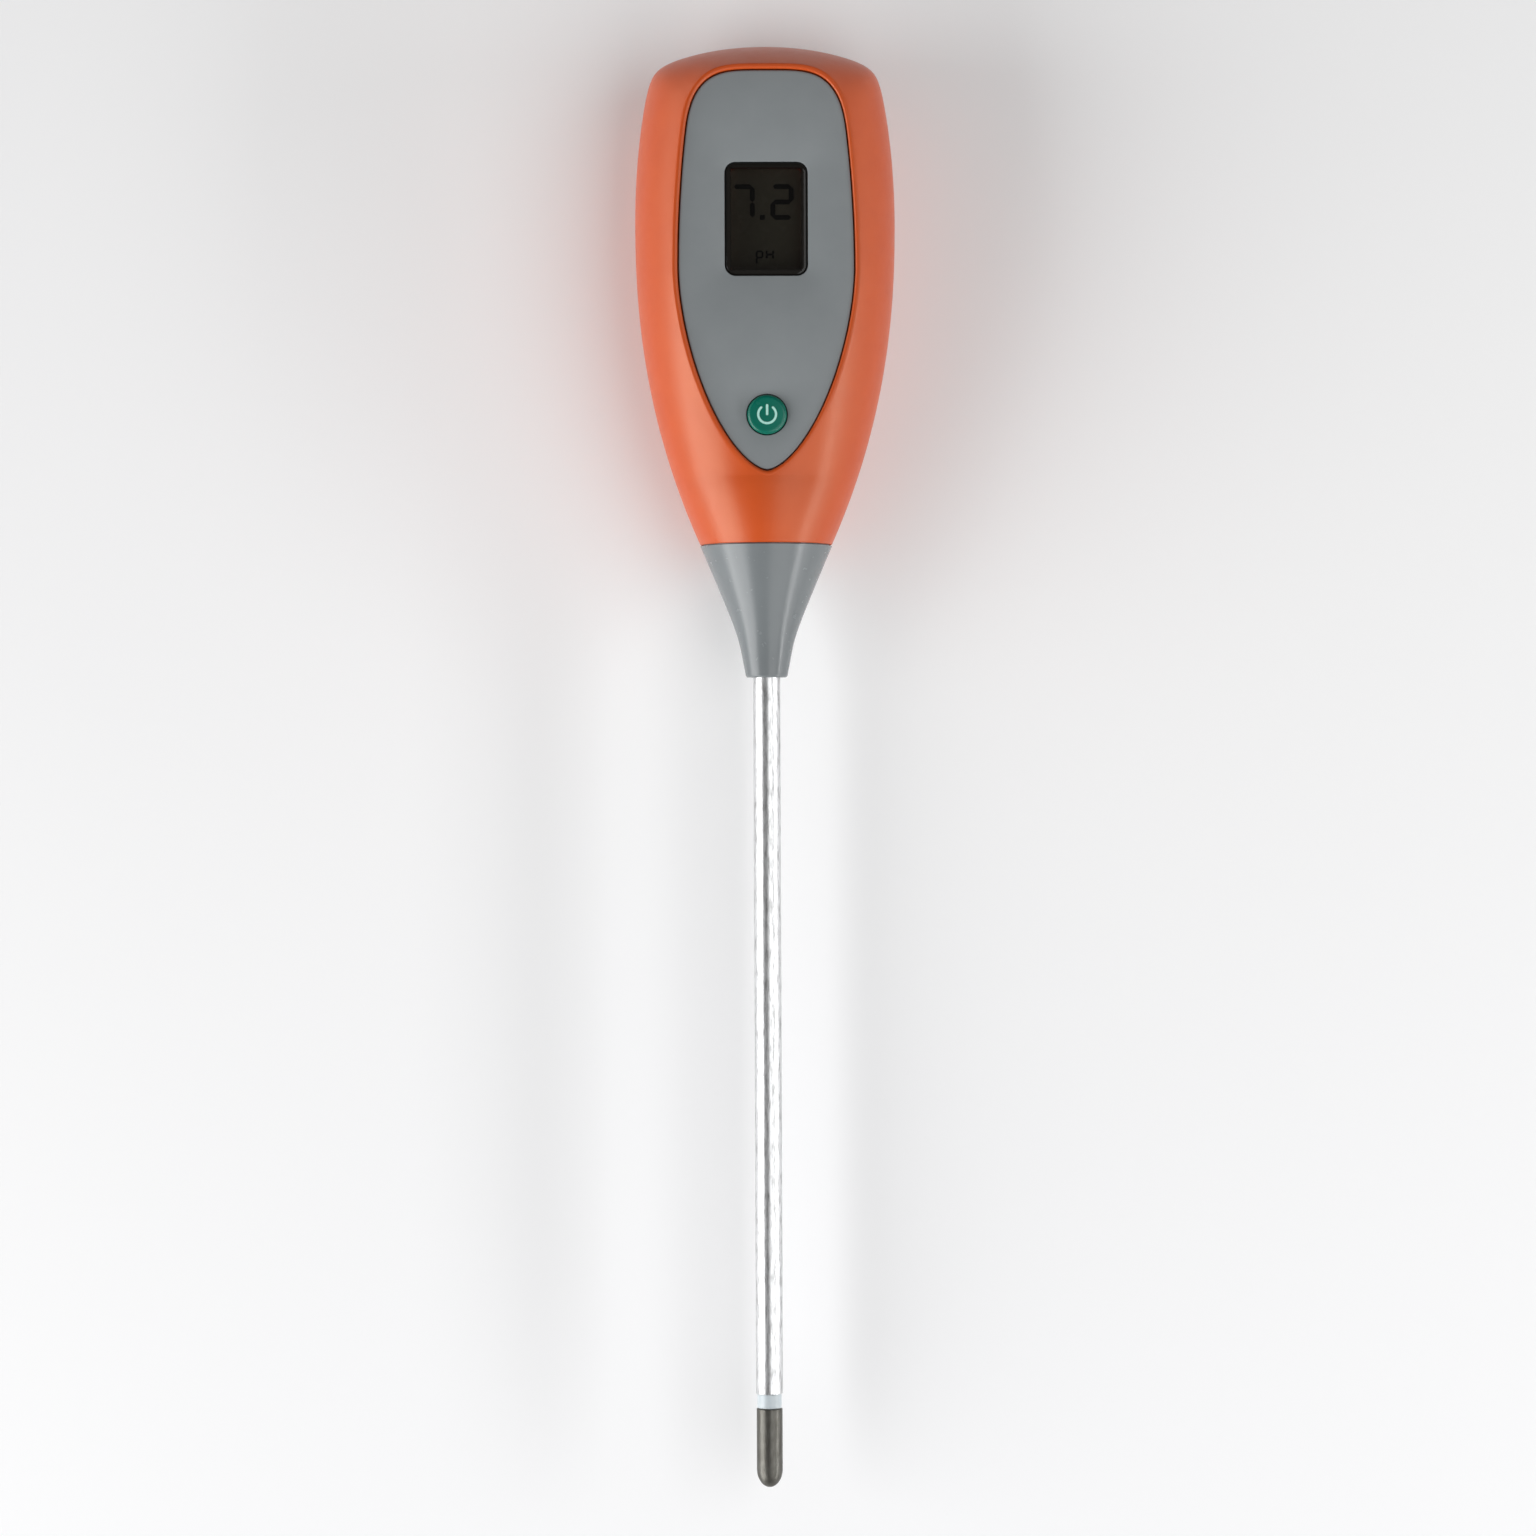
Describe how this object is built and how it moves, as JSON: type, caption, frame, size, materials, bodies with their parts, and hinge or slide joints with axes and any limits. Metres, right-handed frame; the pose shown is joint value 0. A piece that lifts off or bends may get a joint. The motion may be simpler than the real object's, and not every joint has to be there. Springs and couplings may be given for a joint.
{
  "type": "soil ph meter",
  "caption": "Handheld soil pH meter with a teardrop casing, dark display, power button and tapered nose on a long thin metal probe.",
  "frame": {"origin": "middle of the meter's length and width, on the flat back that it rests on", "axes": "+Y from the probe's tip towards the casing's crown, +Z out of the display face, +X to the right seen from the front"},
  "size_m": [0.048, 0.2664, 0.0306],
  "materials": {
    "orange_plastic": "fine satin moulded orange plastic",
    "grey_plastic": "fine matt slate-grey plastic",
    "window": "polished dark-tinted clear plastic",
    "adhesive": "thin double-sided film",
    "rubber": "black O-ring rubber",
    "brass": "turned",
    "steel": "plain zinc-plated steel",
    "aluminium": "drawn tube, finely brushed along its length",
    "insulator": "milky translucent plastic",
    "sensor_metal": "dark, slightly polished metal",
    "white_wire": "wire insulation",
    "black_plastic": "black plastic",
    "red_wire": "wire insulation",
    "lcd_glass": "dark display glass with a polariser",
    "lcd_ink": "near-black display figures",
    "white_plastic": "white plastic",
    "zebra": "striped conductive elastomer",
    "board": "green solder mask",
    "chip": "black epoxy package",
    "component": "small ceramic components",
    "green_plastic": "satin green plastic",
    "mint_print": "pale mint pad print",
    "cell_wrap": "plain dark blue wrapped cell"
  },
  "bodies": {
    "casing": {"front_shell": "orange_plastic", "rear_shell": "orange_plastic", "face_plate": "grey_plastic", "plate_adhesive": "adhesive", "window_lens": "window", "nose_cone": "grey_plastic", "tube_seal": "rubber", "probe_collar": "brass", "collar_nut": "steel", "probe_tube": "aluminium", "insulator_ring": "insulator", "sensor_tip": "sensor_metal", "tip_lead": "white_wire", "tube_lead": "black_plastic", "lcd_panel": "lcd_glass", "lcd_segments": "lcd_ink", "lcd_holder": "white_plastic", "zebra_strips": "zebra", "circuit_board": "board", "controller_chip": "chip", "smd_parts": "component", "timing_crystal": "steel", "switch_body": "black_plastic", "board_screws": "steel", "case_screws": "steel", "battery_cell": "cell_wrap", "battery_cap": "steel", "battery_spring": "steel", "negative_plate": "steel", "positive_plate": "steel", "battery_lead_red": "red_wire", "battery_lead_black": "black_plastic"},
    "door": {"battery_door": "orange_plastic"},
    "button": {"power_button": "green_plastic", "power_symbol": "mint_print"},
    "plunger": {"switch_plunger": "white_plastic"}
  },
  "joints": [
    {"name": "button_press", "type": "slide", "parent": "casing", "child": "button", "axis": [0, 0, -1], "range_m": [0, 0.0006], "stiffness_N_per_m": 1500},
    {"name": "plunger_travel", "type": "slide", "parent": "casing", "child": "plunger", "axis": [0, 0, -1], "range_m": [0, 0.0006]},
    {"name": "door_slide", "type": "slide", "parent": "casing", "child": "door", "axis": [0, 1, 0], "range_m": [0, 0.06]}
  ],
  "couplings": [
    {"joint": "plunger_travel", "follows": "button_press", "ratio": 1}
  ]
}
